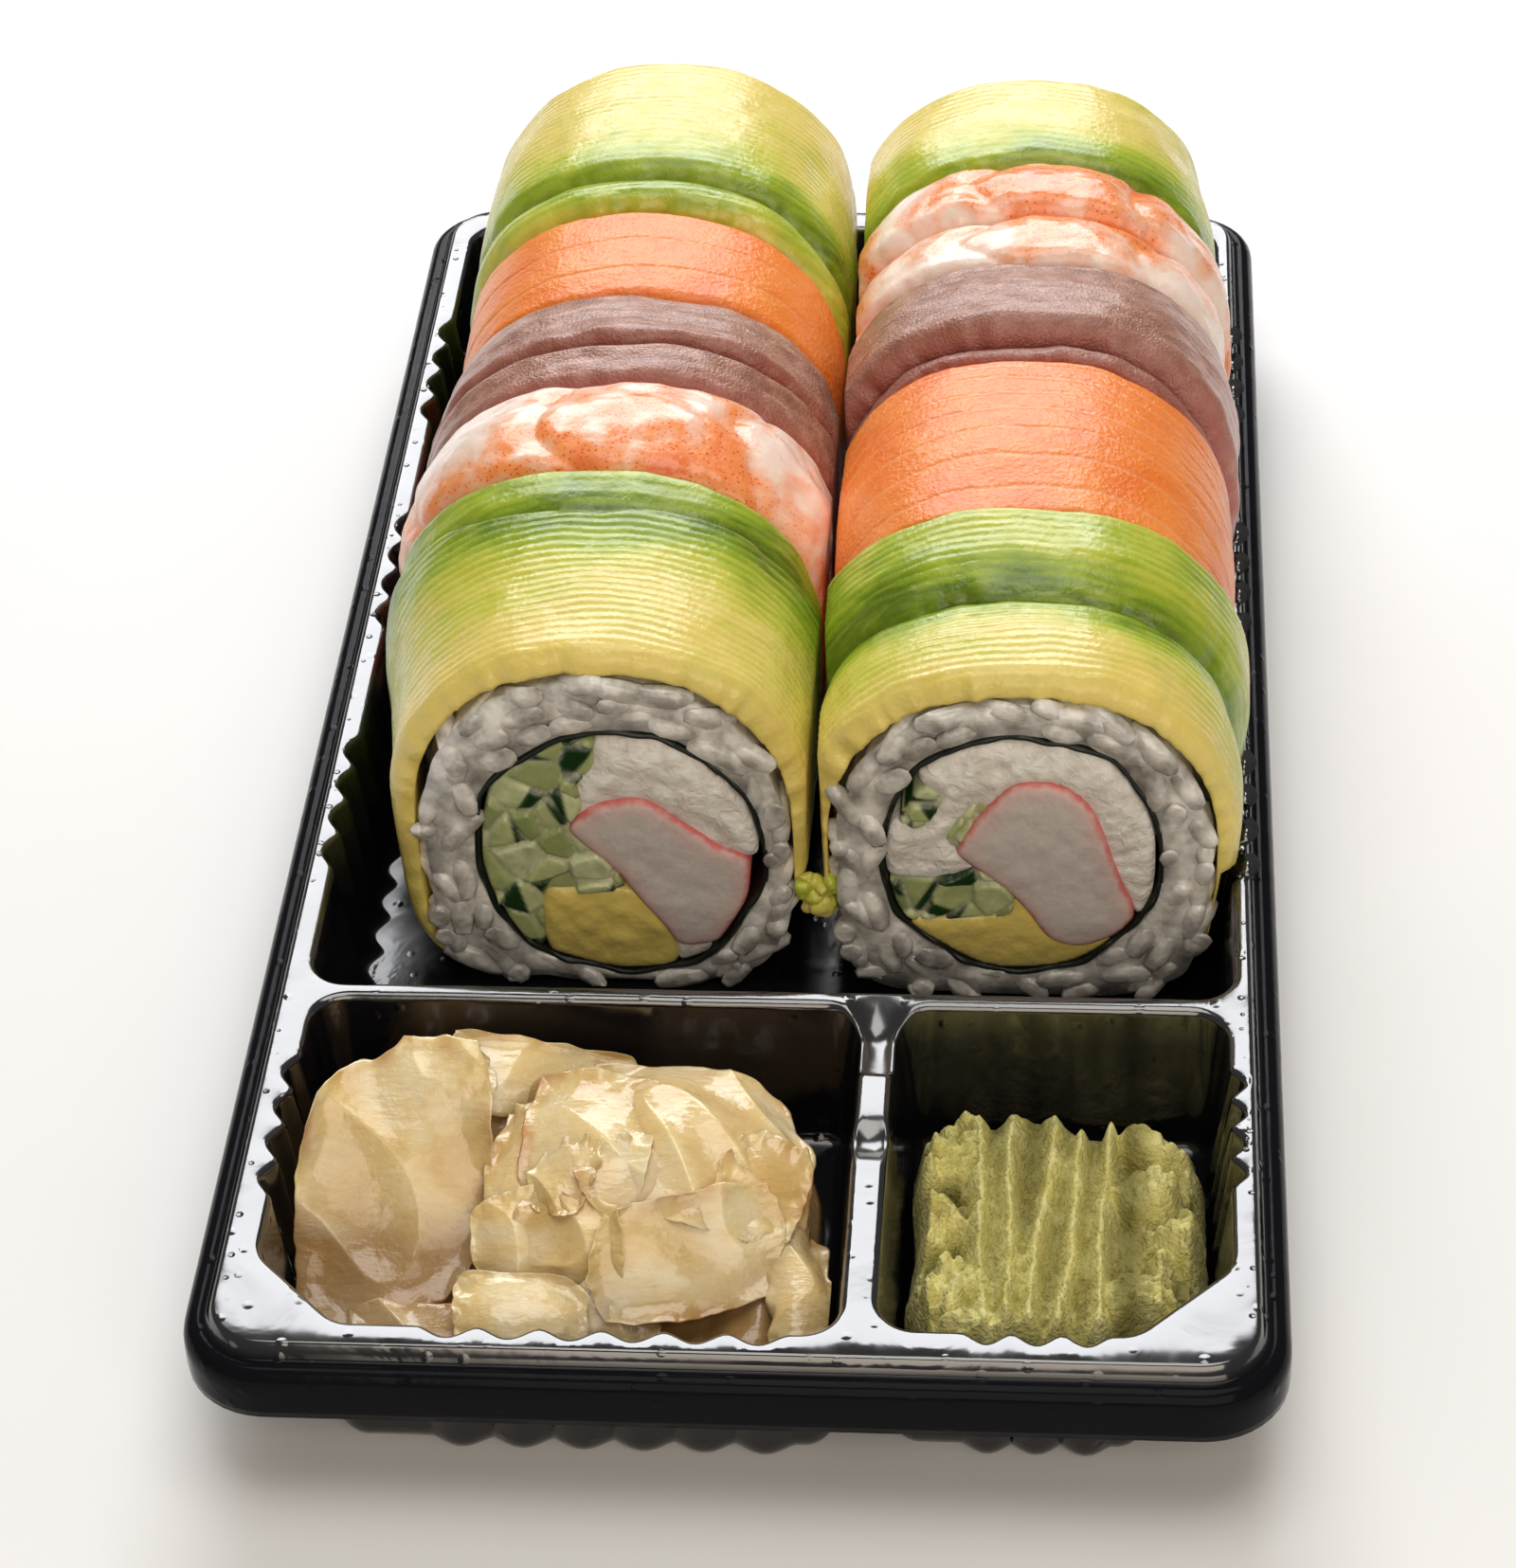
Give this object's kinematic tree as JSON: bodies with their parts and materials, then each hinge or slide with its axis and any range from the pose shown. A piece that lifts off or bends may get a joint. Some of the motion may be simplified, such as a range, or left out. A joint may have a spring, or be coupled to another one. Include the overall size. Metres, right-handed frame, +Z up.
{
  "type": "takeaway sushi tray",
  "caption": "Black moulded takeaway tray with topped sushi rolls lying side by side, and pickled ginger and wasabi in pockets of their own.",
  "frame": {"origin": "middle of the tray's underside", "axes": "+Z up, +Y along the rolls towards their far end, away from the ginger and wasabi, +X to the right"},
  "size_m": [0.0986, 0.1922, 0.0442],
  "materials": {
    "tray_plastic": "gloss black moulded sheet",
    "rice": "moist, translucent white grains",
    "seaweed": "dark, soft sheet",
    "cream_cheese": "soft, creased",
    "crab_stick": "smooth, with a pink red skin",
    "cucumber": "wet, translucent flesh with dark green skin",
    "avocado": "moist, yellow at the flesh side and green at the skin side",
    "prawn": "wet, white with orange patches",
    "tuna": "wet, brownish mauve",
    "salmon": "wet, orange with thin pale lines",
    "pickled_ginger": "wet, translucent cream slices",
    "wasabi": "grainy paste"
  },
  "bodies": {
    "root": {"avocado_back_left": "avocado", "avocado_back_right": "avocado", "avocado_far_left": "avocado", "avocado_far_right": "avocado", "avocado_front_left": "avocado", "avocado_front_right": "avocado", "avocado_step_left": "avocado", "avocado_strip_left": "avocado", "avocado_strip_right": "avocado", "crab_stick_left": "crab_stick", "crab_stick_right": "crab_stick", "cream_cheese_base_left": "cream_cheese", "cream_cheese_left": "cream_cheese", "cream_cheese_right": "cream_cheese", "cucumber_baton_right_a": "cucumber", "cucumber_baton_right_b": "cucumber", "cucumber_left": "cucumber", "cucumber_right": "cucumber", "nori_left": "seaweed", "nori_right": "seaweed", "pickled_ginger": "pickled_ginger", "prawn_far_right": "prawn", "prawn_left": "prawn", "prawn_near_right": "prawn", "rice_left": "rice", "rice_right": "rice", "salmon_left": "salmon", "salmon_right": "salmon", "tray": "tray_plastic", "tuna_far_left": "tuna", "tuna_near_left": "tuna", "tuna_thick_right": "tuna", "tuna_thin_right": "tuna", "wasabi": "wasabi"}
  },
  "joints": []
}
